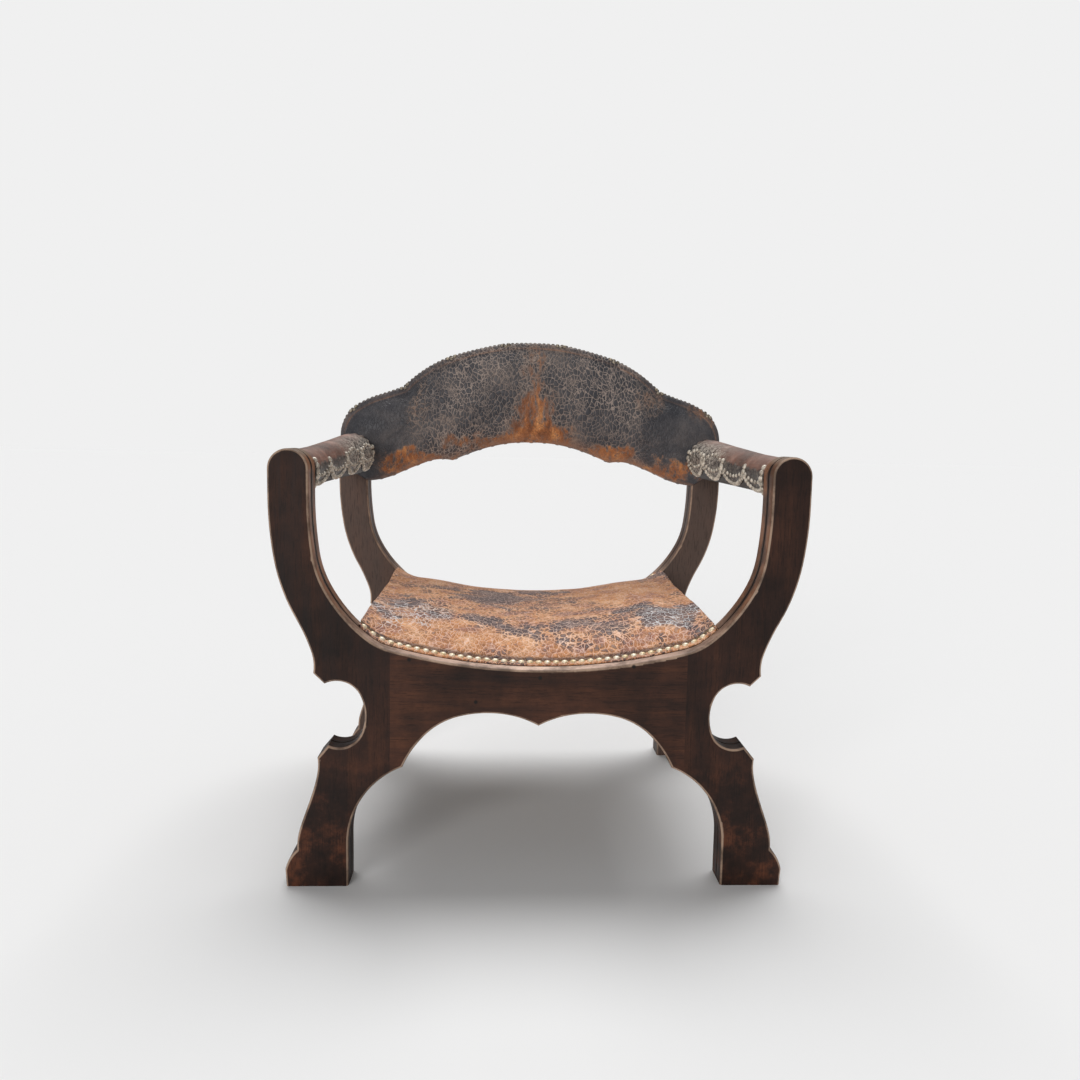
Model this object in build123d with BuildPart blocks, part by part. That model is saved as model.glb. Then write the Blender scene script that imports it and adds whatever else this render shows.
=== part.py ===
"""Rigid curule armchair: two X-shaped plank frames, a slung leather seat and a padded leather back.

The origin is at the middle of the chair on the floor. X runs across the chair, the sitter looks
along -Y and +Z is up. All sizes are in millimetres.
"""

import math
import os

from build123d import *

os.makedirs("parts", exist_ok=True)

# Overall size
overall_width = 700
overall_depth = 550
plank_thickness = 44
half_width = overall_width / 2

# Arms of the frames: parallel sides and a full-round top
arm_width = 52
arm_top_height = 580
arm_straight_height = 518
arm_round_radius = arm_width / 2
arm_centre_x = half_width - arm_round_radius
arm_inner_x = half_width - arm_width
arm_round_height = arm_top_height - arm_round_radius

# Seat rails: a flat arc on top, glued to the uprights at two vertical joints
joint_x = 195
rail_top_height = 296
rail_end_rise = 25
rail_end_height = rail_top_height + rail_end_rise

# Waist of the uprights: a C-shaped notch between two beaks
upper_beak = (294.5, 289.5)
upper_notch_corner = (280, 275.5)
notch_inner_x = 233
notch_middle_height = 234.5
notch_flank_height = 23.8
lower_notch_corner = (275.5, 193.5)
lower_beak = (290, 176)

# Legs, feet and the double arch under the rails
toe_start = (317.7, 50)
toe_nose = (333.5, 22)
foot_outer_x = 332
foot_inner_x = 250
leg_straight_height = 60
leg_cusp = (179, 163.7)
arch_crown = (70, 237.3)
apron_point_height = 220.5

# Moulded edge of the planks: a rounded front arris and a groove along the middle of the edge
arris_radius = 4
groove_width = 3
groove_depth = 1.5
groove_stop_height = 8

# Dowels between rails and uprights
dowel_radius = 6
dowel_length = 40
dowel_heights = (200, 240, 282)
socket_clearance = 0.1

# Seat side rails
side_rail_width = 34
side_rail_outer_x = 238
side_rail_bottom_height = 277
side_dowel_radius = 5
side_dowel_length = 40
side_dowel_heights = (288, 308)

# Seat layers, counted upwards from the line of the rail tops
webbing_thickness = 2
webbing_width = 56
lengthwise_webbing_x = (-138, -46, 46, 138)
crosswise_webbing_y = (-150, -50, 50, 150)
webbing_rail_lap = 7
cloth_thickness = 1.3
layer_gap = 0.1
seat_pad_half_width = 236
seat_pad_inset = 2
seat_pad_stations = (0, 0.07, 0.22, 0.5, 0.78, 0.94, 1)
seat_pad_heights = (3, 18, 31, 36, 36, 24, 4)
seat_pad_side_share = 0.42
leather_thickness = 2.2
seat_flap_lap = 22
seat_skirt_drop = 40

# Back board, let into the rear uprights by a rebate at each end
board_thickness = 22
board_crest_height = 767.5
board_crest_cusp = (231, 685)
board_ear_inset = 5
board_ear_shoulder_height = 546
board_corner_height = 519
board_bottom_cusp = (144, 558.5)
board_arch_height = 593
board_clearance = 0.2
board_dowel_radius = 4
board_dowel_length = 27
board_dowel_height = 531

# Back padding: an arched roll with a crowned section
back_pad_depth = 22
back_pad_arch_radius = 450
back_pad_arch_top = 680
back_pad_half_height = 100
back_pad_inset = 1.5
back_pad_roll_gap = 1

# Armrests: a tapered wooden core in a padded leather roll that swells at the rear. Their common
# axis starts just under the middle of the front arm's round top and climbs to the rear.
roll_front_inset = 0.5
roll_front_drop = 3.5
roll_rear_inset = 6
roll_rear_rise = 14
core_front_radius = 15
core_rear_radius = 19
core_tenon_radius = 9
core_tenon_length = 16
roll_stations = (0, 0.22, 0.39, 0.58, 0.76, 0.86, 0.92, 0.97, 1)
roll_radii = (25.5, 25.6, 27.5, 29.8, 32.6, 33.8, 34, 31.5, 25)
roll_end_gap = 0.3
screw_head_radius = 5.5
screw_head_depth = 3.5
screw_shank_radius = 2.7
screw_length = 70

# Dome-headed nails, simplified to six-sided heads
nail_head_radius = 3.6
nail_head_height = 1.8
nail_sides = 6
nail_taper = 30
seat_nail_pitch = 11.5
seat_nail_edge_distance = 9
side_nail_pitch = 24
crest_nail_pitch = 9.4
crest_scallops = 8
crest_scallop_depth = 14
lower_nail_pitch = 24
arm_nails_per_scallop = 9
arm_scallops = 3
arm_scallop_start = 0.2
arm_scallop_share = 0.25
arm_scallop_top_angle = 20
arm_scallop_low_angle = 78
arm_pair_angle = 14
arm_scallop_squareness = 0.6
lower_nail_corner_gap = 5
nail_gap = 0.4

# Points along a free curve when an offset of it is redrawn, and halvings in a search along an arc
offset_spans = 8
bisection_steps = 30

# Depth positions that follow from the sizes above
front_face_y = -overall_depth / 2
front_frame_back_y = front_face_y + plank_thickness
rear_frame_front_y = overall_depth / 2 - plank_thickness
rear_face_y = overall_depth / 2
board_back_y = rear_frame_front_y + board_thickness
bay_depth = rear_frame_front_y - front_frame_back_y

# Axis of the armrests, at the front and rear frames
roll_front_x = arm_centre_x - roll_front_inset
roll_front_height = arm_round_height - roll_front_drop
roll_rear_x = arm_centre_x - roll_rear_inset
roll_rear_height = arm_round_height + roll_rear_rise


def between(start, end, share_x, share_z):
    """Point at a share of the way from start to end, across and up."""
    return (
        start[0] + share_x * (end[0] - start[0]),
        start[1] + share_z * (end[1] - start[1]),
    )


def offset_face(sketch, amount):
    """Face grown or shrunk all round, its free curves redrawn as plain splines."""
    with BuildSketch() as grown:
        add(sketch)
        offset(amount=amount)
    edges = []
    for edge in grown.sketch.edges():
        if edge.geom_type in (GeomType.LINE, GeomType.CIRCLE):
            edges.append(edge)
        else:
            points = [edge @ (index / offset_spans) for index in range(offset_spans + 1)]
            edges.append(Edge.make_spline(points, tangents=[edge % 0, edge % 1]))
    return Face(Wire(edges))


def arc_chain(tangent, *points):
    """Arcs from point to point, each tangent to the one before and the first to a direction."""
    arcs = []
    for start, end in zip(points, points[1:]):
        arc = TangentArc(start, end, tangent=tangent)
        tangent = arc % 1
        arcs.append(arc)
    return arcs


def finish(part, name):
    """Label a piece and write its STEP file."""
    part.label = name
    export_step(part, f"parts/{name}.step")


# ---------------------------------------------------------------- frame outline

rail_end = (joint_x, rail_end_height)
arm_inner_start = (arm_inner_x, arm_straight_height)
arm_outer_start = (half_width, arm_straight_height)

inner_sweep = arc_chain(
    (0, -1),
    arm_inner_start,
    between(rail_end, arm_inner_start, 0.95, 0.627),
    between(rail_end, arm_inner_start, 0.805, 0.397),
    between(rail_end, arm_inner_start, 0.275, 0.071),
    rail_end,
)
outer_sweep = arc_chain(
    (0, -1),
    arm_outer_start,
    between(arm_outer_start, upper_beak, 0.124, 0.35),
    between(arm_outer_start, upper_beak, 0.61, 0.684),
    between(arm_outer_start, upper_beak, 0.948, 0.867),
    upper_beak,
)
notch = arc_chain(
    (-0.892, 0.452),
    upper_notch_corner,
    (notch_inner_x, notch_middle_height + notch_flank_height),
    (notch_inner_x - 1, notch_middle_height - notch_flank_height),
    lower_notch_corner,
)
shin = Spline(
    lower_beak,
    between(lower_beak, toe_start, 0.19, 0.335),
    between(lower_beak, toe_start, 0.87, 0.78),
    toe_start,
    tangents=[(-0.16, -0.987), (0, -1)],
)
apron = arc_chain(
    (-0.402, 0.916),
    leg_cusp,
    between(leg_cusp, arch_crown, 0.267, 0.583),
    between(leg_cusp, arch_crown, 0.683, 0.936),
    between((0, apron_point_height), arch_crown, 0.69, 0.93),
    (0, apron_point_height),
)

rail_arc_radius = (joint_x**2 + rail_end_rise**2) / (2 * rail_end_rise)


def seat_line_height(x):
    """Height of the frames' inner edge at distance x from the middle of the chair."""
    distance = abs(x)
    if distance <= joint_x:
        return rail_top_height + rail_arc_radius - math.sqrt(rail_arc_radius**2 - distance**2)
    arc = [arc for arc in inner_sweep if (arc @ 0).X >= distance][-1]
    low, high = 0.0, 1.0
    for _ in range(bisection_steps):
        middle = (low + high) / 2
        if (arc @ middle).X > distance:
            low = middle
        else:
            high = middle
    return (arc @ low).Y


with BuildSketch() as half_outline:
    with BuildLine():
        RadiusArc((0, rail_top_height), rail_end, -rail_arc_radius)
        add(inner_sweep)
        Line(arm_inner_start, (arm_inner_x, arm_round_height))
        ThreePointArc(
            (arm_inner_x, arm_round_height),
            (arm_centre_x, arm_top_height),
            (half_width, arm_round_height),
        )
        Line((half_width, arm_round_height), arm_outer_start)
        add(outer_sweep)
        Line(upper_beak, upper_notch_corner)
        add(notch)
        Line(lower_notch_corner, lower_beak)
        add(shin)
        ThreePointArc(toe_start, between(toe_start, toe_nose, 0.65, 0.46), toe_nose)
        Line(toe_nose, (foot_outer_x, 0))
        Line((foot_outer_x, 0), (foot_inner_x, 0))
        Line((foot_inner_x, 0), (foot_inner_x, leg_straight_height))
        TangentArc((foot_inner_x, leg_straight_height), leg_cusp, tangent=(0, 1))
        add(apron)
        Line((0, apron_point_height), (0, rail_top_height))
    make_face()

with BuildSketch() as frame_outline:
    add(half_outline.sketch)
    mirror(about=Plane.YZ)


groove_bottom = offset_face(frame_outline.sketch, -groove_depth)


def is_free_arris(edge):
    """Whether a front edge of half a frame is one that a hand meets: not the sole, not the cut."""
    return edge.center().Z > arris_radius and edge.center().X > arris_radius


def frame_blank(back_y):
    """One whole frame, before it is cut into two uprights and a rail."""
    groove_back_y = back_y - (plank_thickness - groove_width) / 2
    with BuildPart() as blank:
        with BuildSketch(Plane.XZ.offset(-back_y)):
            add(half_outline.sketch)
        extrude(amount=plank_thickness)
        front_edges = blank.faces().sort_by(Axis.Y)[0].edges()
        fillet(front_edges.filter_by(is_free_arris), radius=arris_radius)
        mirror(about=Plane.YZ)
        with BuildSketch(Plane.XZ.offset(-groove_back_y)):
            with Locations((0, groove_stop_height)):
                Rectangle(2 * overall_width, overall_width, align=(Align.CENTER, Align.MIN))
            add(groove_bottom, mode=Mode.SUBTRACT)
        extrude(amount=groove_width, mode=Mode.SUBTRACT)
    return blank.part


def frame_dowels(back_y, clearance):
    """Dowels of one frame's two glue joints, or their sockets with a clearance."""
    middle_y = back_y - plank_thickness / 2
    with BuildPart() as dowels:
        for side in (-1, 1):
            for height in dowel_heights:
                with Locations((side * joint_x, middle_y, height)):
                    Cylinder(
                        radius=dowel_radius + clearance,
                        height=dowel_length + 2 * clearance,
                        rotation=(0, 90, 0),
                    )
    return dowels.part


def side_rail_dowels(clearance):
    """Dowels of both seat side rails, or their sockets with a clearance."""
    with BuildPart() as dowels:
        for side in (-1, 1):
            for end_y in (front_frame_back_y, rear_frame_front_y):
                for height in side_dowel_heights:
                    with Locations((side * (side_rail_outer_x - side_rail_width / 2), end_y, height)):
                        Cylinder(
                            radius=side_dowel_radius + clearance,
                            height=side_dowel_length + 2 * clearance,
                            rotation=(90, 0, 0),
                        )
    return dowels.part


def board_dowels(clearance):
    """Dowels that pin the back board between the rear uprights, or their sockets."""
    with BuildPart() as dowels:
        for side in (-1, 1):
            with Locations(
                (side * arm_inner_x, rear_frame_front_y + board_thickness / 2, board_dowel_height)
            ):
                Cylinder(
                    radius=board_dowel_radius + clearance,
                    height=board_dowel_length + 2 * clearance,
                    rotation=(0, 90, 0),
                )
    return dowels.part


def armrest_screws(clearance):
    """Countersunk screws through each rear upright and board ear into the armrest core."""
    with BuildPart() as screws:
        for side in (-1, 1):
            with BuildSketch(Plane.XZ.offset(-rear_face_y)):
                with Locations((side * roll_rear_x, roll_rear_height)):
                    Circle(screw_head_radius + clearance)
            with BuildSketch(Plane.XZ.offset(-rear_face_y + screw_head_depth)):
                with Locations((side * roll_rear_x, roll_rear_height)):
                    Circle(screw_shank_radius + clearance)
            loft()
            with BuildSketch(Plane.XZ.offset(-rear_face_y + screw_head_depth)):
                with Locations((side * roll_rear_x, roll_rear_height)):
                    Circle(screw_shank_radius + clearance)
            extrude(amount=screw_length - screw_head_depth + clearance)
    return screws.part


def armrest_turning(side, profile, start_y, end_y):
    """Solid turned about the armrest's axis and cut square to the frames at both ends.

    The profile holds distances along the axis from the front frame, and radii.
    """
    start = Vector(side * roll_front_x, front_frame_back_y, roll_front_height)
    end = Vector(side * roll_rear_x, rear_frame_front_y, roll_rear_height)
    along = (end - start).normalized()
    sideways = along.cross(Vector(0, 0, 1)).normalized()
    with BuildPart() as turning:
        with BuildSketch(Plane(origin=start, x_dir=along, z_dir=sideways)):
            with BuildLine():
                Polyline((profile[0][0], 0), *profile, (profile[-1][0], 0), close=True)
            make_face()
        revolve(axis=Axis(start, along))
        split(bisect_by=Plane.XZ.offset(-start_y), keep=Keep.BOTTOM)
        split(bisect_by=Plane.XZ.offset(-end_y), keep=Keep.TOP)
    return turning.part


def armrest_tenon(side, clearance):
    """Round tenon of the armrest core, or its socket with a clearance."""
    radius = core_tenon_radius + clearance
    length = core_tenon_length + clearance
    return armrest_turning(
        side,
        [(-2 * length, radius), (length, radius)],
        front_frame_back_y - length,
        front_frame_back_y,
    )


# Both frames are sawn to one pattern
front_blank = frame_blank(front_frame_back_y)
rear_blank = front_blank.moved(Location((0, rear_face_y - front_frame_back_y, 0)))
front_sockets = frame_dowels(front_frame_back_y, socket_clearance)
rear_sockets = frame_dowels(rear_face_y, socket_clearance)
side_rail_sockets = side_rail_dowels(socket_clearance)
board_sockets = board_dowels(socket_clearance)
screw_holes = armrest_screws(socket_clearance)

# ---------------------------------------------------------------- front frame

for side, name in ((-1, "front_left_upright"), (1, "front_right_upright")):
    with BuildPart() as front_upright:
        add(front_blank)
        split(
            bisect_by=Plane.YZ.offset(side * joint_x),
            keep=Keep.TOP if side > 0 else Keep.BOTTOM,
        )
        add(front_sockets, mode=Mode.SUBTRACT)
        add(side_rail_sockets, mode=Mode.SUBTRACT)
        add(armrest_tenon(side, socket_clearance), mode=Mode.SUBTRACT)
    finish(front_upright.part, name)

with BuildPart() as front_seat_rail:
    add(front_blank)
    split(bisect_by=Plane.YZ.offset(joint_x), keep=Keep.BOTTOM)
    split(bisect_by=Plane.YZ.offset(-joint_x), keep=Keep.TOP)
    add(front_sockets, mode=Mode.SUBTRACT)
finish(front_seat_rail.part, "front_seat_rail")

finish(frame_dowels(front_frame_back_y, 0), "front_frame_dowels")

# ---------------------------------------------------------------- rear frame

for side, name in ((-1, "rear_left_upright"), (1, "rear_right_upright")):
    with BuildPart() as rear_upright:
        add(rear_blank)
        split(
            bisect_by=Plane.YZ.offset(side * joint_x),
            keep=Keep.TOP if side > 0 else Keep.BOTTOM,
        )
        with BuildSketch(Plane.XZ.offset(-board_back_y)):
            with Locations((side * arm_centre_x, board_ear_shoulder_height)):
                Rectangle(2 * arm_width, overall_width, align=(Align.CENTER, Align.MIN))
        extrude(amount=board_thickness, mode=Mode.SUBTRACT)
        add(rear_sockets, mode=Mode.SUBTRACT)
        add(side_rail_sockets, mode=Mode.SUBTRACT)
        add(board_sockets, mode=Mode.SUBTRACT)
        add(screw_holes, mode=Mode.SUBTRACT)
    finish(rear_upright.part, name)

with BuildPart() as rear_seat_rail:
    add(rear_blank)
    split(bisect_by=Plane.YZ.offset(joint_x), keep=Keep.BOTTOM)
    split(bisect_by=Plane.YZ.offset(-joint_x), keep=Keep.TOP)
    add(rear_sockets, mode=Mode.SUBTRACT)
finish(rear_seat_rail.part, "rear_seat_rail")

finish(frame_dowels(rear_face_y, 0), "rear_frame_dowels")

# ---------------------------------------------------------------- seat frame and suspension

with BuildSketch() as seat_opening:
    with BuildLine():
        add(inner_sweep)
        mirror(about=Plane.YZ)
        ThreePointArc((-joint_x, rail_end_height), (0, rail_top_height), rail_end)
        Line((-arm_inner_x, arm_straight_height), arm_inner_start)
    make_face()


def seat_band(lower, upper, x_from, x_to):
    """Strip that follows the rail tops, between two heights above them and two X positions."""
    with BuildSketch() as band:
        add(seat_opening.sketch.moved(Location((0, lower))))
        add(seat_opening.sketch.moved(Location((0, upper))), mode=Mode.SUBTRACT)
        with Locations(((x_from + x_to) / 2, rail_top_height)):
            Rectangle(x_to - x_from, overall_width, mode=Mode.INTERSECT)
    return band.sketch


crosswise_top = -layer_gap
crosswise_bottom = crosswise_top - webbing_thickness
side_rail_top = crosswise_bottom - layer_gap
side_rail_reach = seat_line_height(side_rail_outer_x) - side_rail_bottom_height

for side, name in ((-1, "seat_side_rail_left"), (1, "seat_side_rail_right")):
    rail_centre_x = side * (side_rail_outer_x - side_rail_width / 2)
    with BuildPart() as side_rail:
        with BuildSketch(Plane.XZ.offset(-rear_frame_front_y)):
            with Locations((rail_centre_x, side_rail_bottom_height)):
                Rectangle(side_rail_width, side_rail_reach, align=(Align.CENTER, Align.MIN))
            add(seat_opening.sketch.moved(Location((0, side_rail_top))), mode=Mode.SUBTRACT)
        extrude(amount=bay_depth)
        add(side_rail_sockets, mode=Mode.SUBTRACT)
    finish(side_rail.part, name)

finish(side_rail_dowels(0), "seat_side_rail_dowels")

with BuildPart() as seat_webbing_crosswise:
    for strap_y in crosswise_webbing_y:
        with BuildSketch(Plane.XZ.offset(-(strap_y + webbing_width / 2))):
            add(seat_band(crosswise_bottom, crosswise_top, -side_rail_outer_x, side_rail_outer_x))
        extrude(amount=webbing_width)
finish(seat_webbing_crosswise.part, "seat_webbing_crosswise")

suspension_depth = bay_depth + 2 * webbing_rail_lap
with BuildPart() as seat_webbing_lengthwise:
    with BuildSketch(Plane.XZ.offset(-suspension_depth / 2)):
        for strap_x in lengthwise_webbing_x:
            add(seat_band(0, webbing_thickness, strap_x - webbing_width / 2, strap_x + webbing_width / 2))
    extrude(amount=suspension_depth)
finish(seat_webbing_lengthwise.part, "seat_webbing_lengthwise")

cloth_bottom = webbing_thickness + layer_gap
cloth_top = cloth_bottom + cloth_thickness
with BuildPart() as seat_base_cloth:
    with BuildSketch(Plane.XZ.offset(-suspension_depth / 2)):
        add(seat_band(cloth_bottom, cloth_top, -side_rail_outer_x, side_rail_outer_x))
    extrude(amount=suspension_depth)
finish(seat_base_cloth.part, "seat_base_cloth")

# ---------------------------------------------------------------- seat padding and leather

pad_bottom = cloth_top + layer_gap
crown_shares = (-1, -0.88, -0.6, 0, 0.6, 0.88, 1)
crown_fullness = (seat_pad_side_share, 0.8, 1, 1, 1, 0.8, seat_pad_side_share)


def seat_crown(half_span, depth, skin):
    """Crowned cushion over the rails: sections across the chair, joined from front to rear."""
    sections = []
    for share, height in zip(seat_pad_stations, seat_pad_heights):
        top = []
        for width_share, full in zip(crown_shares, crown_fullness):
            x = width_share * half_span
            top.append((x, seat_line_height(x) + pad_bottom + height * full + skin))
        with BuildSketch(Plane.XZ.offset(depth / 2 - share * depth)) as section:
            with BuildLine():
                Spline(*top)
                Polyline(top[-1], (half_span, 0), (-half_span, 0), top[0])
            make_face()
        sections.append(section.sketch)
    with BuildPart() as crown:
        for section in sections:
            add(section)
        loft(ruled=True)
        with BuildSketch(Plane.XZ.offset(-depth / 2)):
            add(seat_opening.sketch.moved(Location((0, pad_bottom))))
        extrude(amount=depth, mode=Mode.INTERSECT)
    return crown.part


pad_depth = bay_depth - 2 * seat_pad_inset
finish(seat_crown(seat_pad_half_width, pad_depth, 0), "seat_padding")

skirt_inner_x = side_rail_outer_x + layer_gap
skirt_outer_x = skirt_inner_x + leather_thickness
flap_top = layer_gap + leather_thickness
skirt_top_height = seat_line_height(skirt_outer_x) + 2 * pad_bottom
with BuildPart() as seat_leather:
    add(seat_crown(skirt_outer_x, bay_depth, leather_thickness))
    add(seat_crown(seat_pad_half_width, pad_depth, 0), mode=Mode.SUBTRACT)
    for side in (-1, 1):
        with BuildSketch(Plane.YZ.offset(side * (skirt_inner_x + skirt_outer_x) / 2)):
            with Locations((0, skirt_top_height)):
                Rectangle(bay_depth, seat_skirt_drop, align=(Align.CENTER, Align.MAX))
        extrude(amount=leather_thickness / 2, both=True)
        rail_edge_y = front_frame_back_y if side < 0 else rear_frame_front_y
        step_y = rail_edge_y + side * webbing_rail_lap
        flap_y = rail_edge_y + side * seat_flap_lap
        with BuildSketch(Plane.XZ.offset(-max(step_y, flap_y))):
            add(seat_band(layer_gap, flap_top, -seat_pad_half_width, seat_pad_half_width))
        extrude(amount=abs(flap_y - step_y))
        lap_y = step_y + side * leather_thickness
        with BuildSketch(Plane.XZ.offset(-max(lap_y, rail_edge_y))):
            add(
                seat_band(
                    layer_gap,
                    pad_bottom + leather_thickness,
                    -seat_pad_half_width,
                    seat_pad_half_width,
                )
            )
        extrude(amount=abs(lap_y - rail_edge_y))
        with BuildSketch(Plane.XZ.offset(-max(step_y, rail_edge_y))):
            add(seat_band(0, pad_bottom - layer_gap, -side_rail_outer_x, side_rail_outer_x))
        extrude(amount=abs(step_y - rail_edge_y), mode=Mode.SUBTRACT)
finish(seat_leather.part, "seat_leather")

# ---------------------------------------------------------------- back board

board_side_x = arm_inner_x - board_clearance
board_shoulder_height = board_ear_shoulder_height + board_clearance
board_crest = (0, board_crest_height)
board_ear_x = half_width - board_ear_inset
board_ear_top = (board_ear_x, board_shoulder_height + arm_width)
board_corner = (board_side_x, board_corner_height)
board_arch = (0, board_arch_height)

with BuildSketch() as board_outline:
    board_arcs = [
        arc_chain(
            (1, 0),
            board_crest,
            between(board_crest, board_crest_cusp, 0.382, 0.119),
            between(board_crest, board_crest_cusp, 0.686, 0.383),
            board_crest_cusp,
        ),
        arc_chain(
            (0.944, -0.330),
            board_crest_cusp,
            between(board_crest_cusp, board_ear_top, 0.418, 0.183),
            between(board_crest_cusp, board_ear_top, 0.764, 0.408),
            board_ear_top,
        ),
        arc_chain(
            (-1, 0.045),
            board_corner,
            between(board_corner, board_bottom_cusp, 0.334, 0.324),
            between(board_corner, board_bottom_cusp, 0.691, 0.909),
            board_bottom_cusp,
        ),
        arc_chain(
            (-0.906, 0.423),
            board_bottom_cusp,
            between(board_arch, board_bottom_cusp, 0.678, 0.452),
            between(board_arch, board_bottom_cusp, 0.344, 0.093),
            board_arch,
        ),
    ]
    with BuildLine():
        for arcs in board_arcs:
            add(arcs)
        Polyline(
            board_ear_top,
            (board_ear_x, board_shoulder_height),
            (board_side_x, board_shoulder_height),
            board_corner,
        )
        mirror(about=Plane.YZ)
    make_face()


with BuildPart() as back_board:
    with BuildSketch(Plane.XZ.offset(-board_back_y)):
        add(board_outline.sketch)
    extrude(amount=board_thickness)
    add(board_sockets, mode=Mode.SUBTRACT)
    add(screw_holes, mode=Mode.SUBTRACT)
finish(back_board.part, "back_board")

finish(board_dowels(0), "back_board_dowels")
finish(armrest_screws(0), "armrest_rear_screws")

# ---------------------------------------------------------------- back padding and leathers

arch_centre_height = back_pad_arch_top - back_pad_arch_radius
roll_rear_radius = max(roll_radii)


def back_crown(outline, depth, end_clearance):
    """Crowned pad on the board's front: an arched roll trimmed to an outline and to the armrests."""
    section_radius = (back_pad_half_height**2 + depth**2) / (2 * depth)
    reach = back_pad_half_height
    with BuildPart() as crown:
        with BuildSketch(Plane.YZ):
            with Locations((rear_frame_front_y - depth + section_radius, back_pad_arch_top)):
                Circle(section_radius)
            with Locations((rear_frame_front_y, back_pad_arch_top)):
                Rectangle(
                    2 * depth, 2 * reach, align=(Align.MAX, Align.CENTER), mode=Mode.INTERSECT
                )
        revolve(axis=Axis((0, 0, arch_centre_height), (0, 1, 0)), revolution_arc=360)
        with BuildSketch(Plane.XZ.offset(-rear_frame_front_y)):
            add(outline)
        extrude(amount=2 * depth, mode=Mode.INTERSECT)
        for side in (-1, 1):
            with BuildSketch(Plane.XZ.offset(-rear_frame_front_y)):
                with Locations((side * roll_rear_x, roll_rear_height)):
                    Circle(roll_rear_radius + end_clearance)
                    Rectangle(
                        2 * (roll_rear_radius + end_clearance),
                        overall_width,
                        align=(Align.CENTER, Align.MAX),
                    )
            extrude(amount=2 * depth, mode=Mode.SUBTRACT)
    return crown.part


pad_outline = offset_face(board_outline.sketch, -back_pad_inset)
back_pad = back_crown(pad_outline, back_pad_depth, back_pad_roll_gap + leather_thickness)
finish(back_pad, "back_padding")

leather_outline = offset_face(board_outline.sketch, leather_thickness + layer_gap)
board_envelope_depth = board_thickness + leather_thickness
with BuildPart() as back_front_leather:
    with BuildSketch(Plane.XZ.offset(-board_back_y)):
        add(leather_outline)
    extrude(amount=board_envelope_depth)
    add(back_crown(leather_outline, back_pad_depth + leather_thickness, back_pad_roll_gap))
    with BuildSketch(Plane.XZ.offset(-board_back_y)):
        add(offset_face(board_outline.sketch, layer_gap))
    extrude(amount=board_thickness, mode=Mode.SUBTRACT)
    add(back_pad, mode=Mode.SUBTRACT)
    with BuildSketch(Plane.XZ.offset(-board_back_y)):
        for side in (-1, 1):
            with Locations((side * arm_centre_x, board_shoulder_height)):
                Rectangle(
                    2 * (arm_centre_x - board_side_x), overall_width, align=(Align.CENTER, Align.MAX)
                )
    extrude(amount=board_thickness + 2 * leather_thickness, mode=Mode.SUBTRACT)
    with BuildSketch(Plane.XZ.offset(-rear_frame_front_y)):
        for side in (-1, 1):
            with Locations((side * roll_rear_x, roll_rear_height)):
                Circle(core_rear_radius + board_clearance)
    extrude(amount=2 * leather_thickness, mode=Mode.SUBTRACT)
finish(back_front_leather.part, "back_front_leather")

with BuildPart() as back_outer_leather:
    with BuildSketch(Plane.XZ.offset(-(board_back_y + leather_thickness))):
        add(leather_outline)
        add(frame_outline.sketch, mode=Mode.SUBTRACT)
    extrude(amount=leather_thickness - layer_gap)
finish(back_outer_leather.part, "back_outer_leather")

# ---------------------------------------------------------------- armrests

roll_front_y = front_frame_back_y + roll_end_gap
roll_rear_y = rear_frame_front_y - leather_thickness - roll_end_gap
roll_length = roll_rear_y - roll_front_y


def armrest_roll(side, skin):
    """Body of the armrest roll, drawn in by a skin thickness all round."""
    profile = [(share * roll_length, radius - skin) for share, radius in zip(roll_stations, roll_radii)]
    profile[0] = (-arm_width, profile[0][1])
    profile.append((roll_length + arm_width, profile[-1][1]))
    return armrest_turning(side, profile, roll_front_y + skin, roll_rear_y - skin)


def armrest_core(side, clearance):
    """Tapered wooden core of one armrest."""
    profile = [(0, core_front_radius), (bay_depth, core_rear_radius)]
    profile = [(-arm_width, core_front_radius)] + profile + [(bay_depth + arm_width, core_rear_radius)]
    profile = [(distance, radius + clearance) for distance, radius in profile]
    return armrest_turning(side, profile, front_frame_back_y, rear_frame_front_y)


for side, ending in ((-1, "left"), (1, "right")):
    core_space = armrest_core(side, layer_gap)
    padding_body = armrest_roll(side, leather_thickness)
    with BuildPart() as core:
        add(armrest_core(side, 0))
        add(armrest_tenon(side, 0))
        add(screw_holes, mode=Mode.SUBTRACT)
    finish(core.part, f"armrest_core_{ending}")
    with BuildPart() as padding:
        add(padding_body)
        add(core_space, mode=Mode.SUBTRACT)
    finish(padding.part, f"armrest_padding_{ending}")
    with BuildPart() as cover:
        add(armrest_roll(side, 0))
        add(padding_body, mode=Mode.SUBTRACT)
        add(core_space, mode=Mode.SUBTRACT)
    finish(cover.part, f"armrest_leather_{ending}")

# ---------------------------------------------------------------- nails

with BuildPart() as nail_head:
    with BuildSketch():
        RegularPolygon(radius=nail_head_radius, side_count=nail_sides)
    extrude(amount=nail_head_height, taper=nail_taper)


def place_nails(places):
    """Group of nail heads, each at a point with its axis along a direction."""
    heads = []
    for point, direction in places:
        heads.append(Plane(origin=point, z_dir=direction).location * nail_head.part)
    return Compound(children=heads)


def spaced(length, pitch):
    """Even positions along a length, half a pitch in from each end."""
    count = max(2, round(length / pitch))
    return [length * (index + 0.5) / count for index in range(count)]


def rail_nails(nail_y):
    """Nails along the top of a seat rail."""
    places = []
    for distance in spaced(2 * seat_pad_half_width - 2 * nail_head_radius, seat_nail_pitch):
        x = distance - seat_pad_half_width + nail_head_radius
        slope = (seat_line_height(x + 1) - seat_line_height(x - 1)) / 2
        height = seat_line_height(x) + (flap_top + layer_gap) * math.sqrt(1 + slope**2)
        places.append(((x, nail_y, height), (-slope, 0, 1)))
    return place_nails(places)


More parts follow.
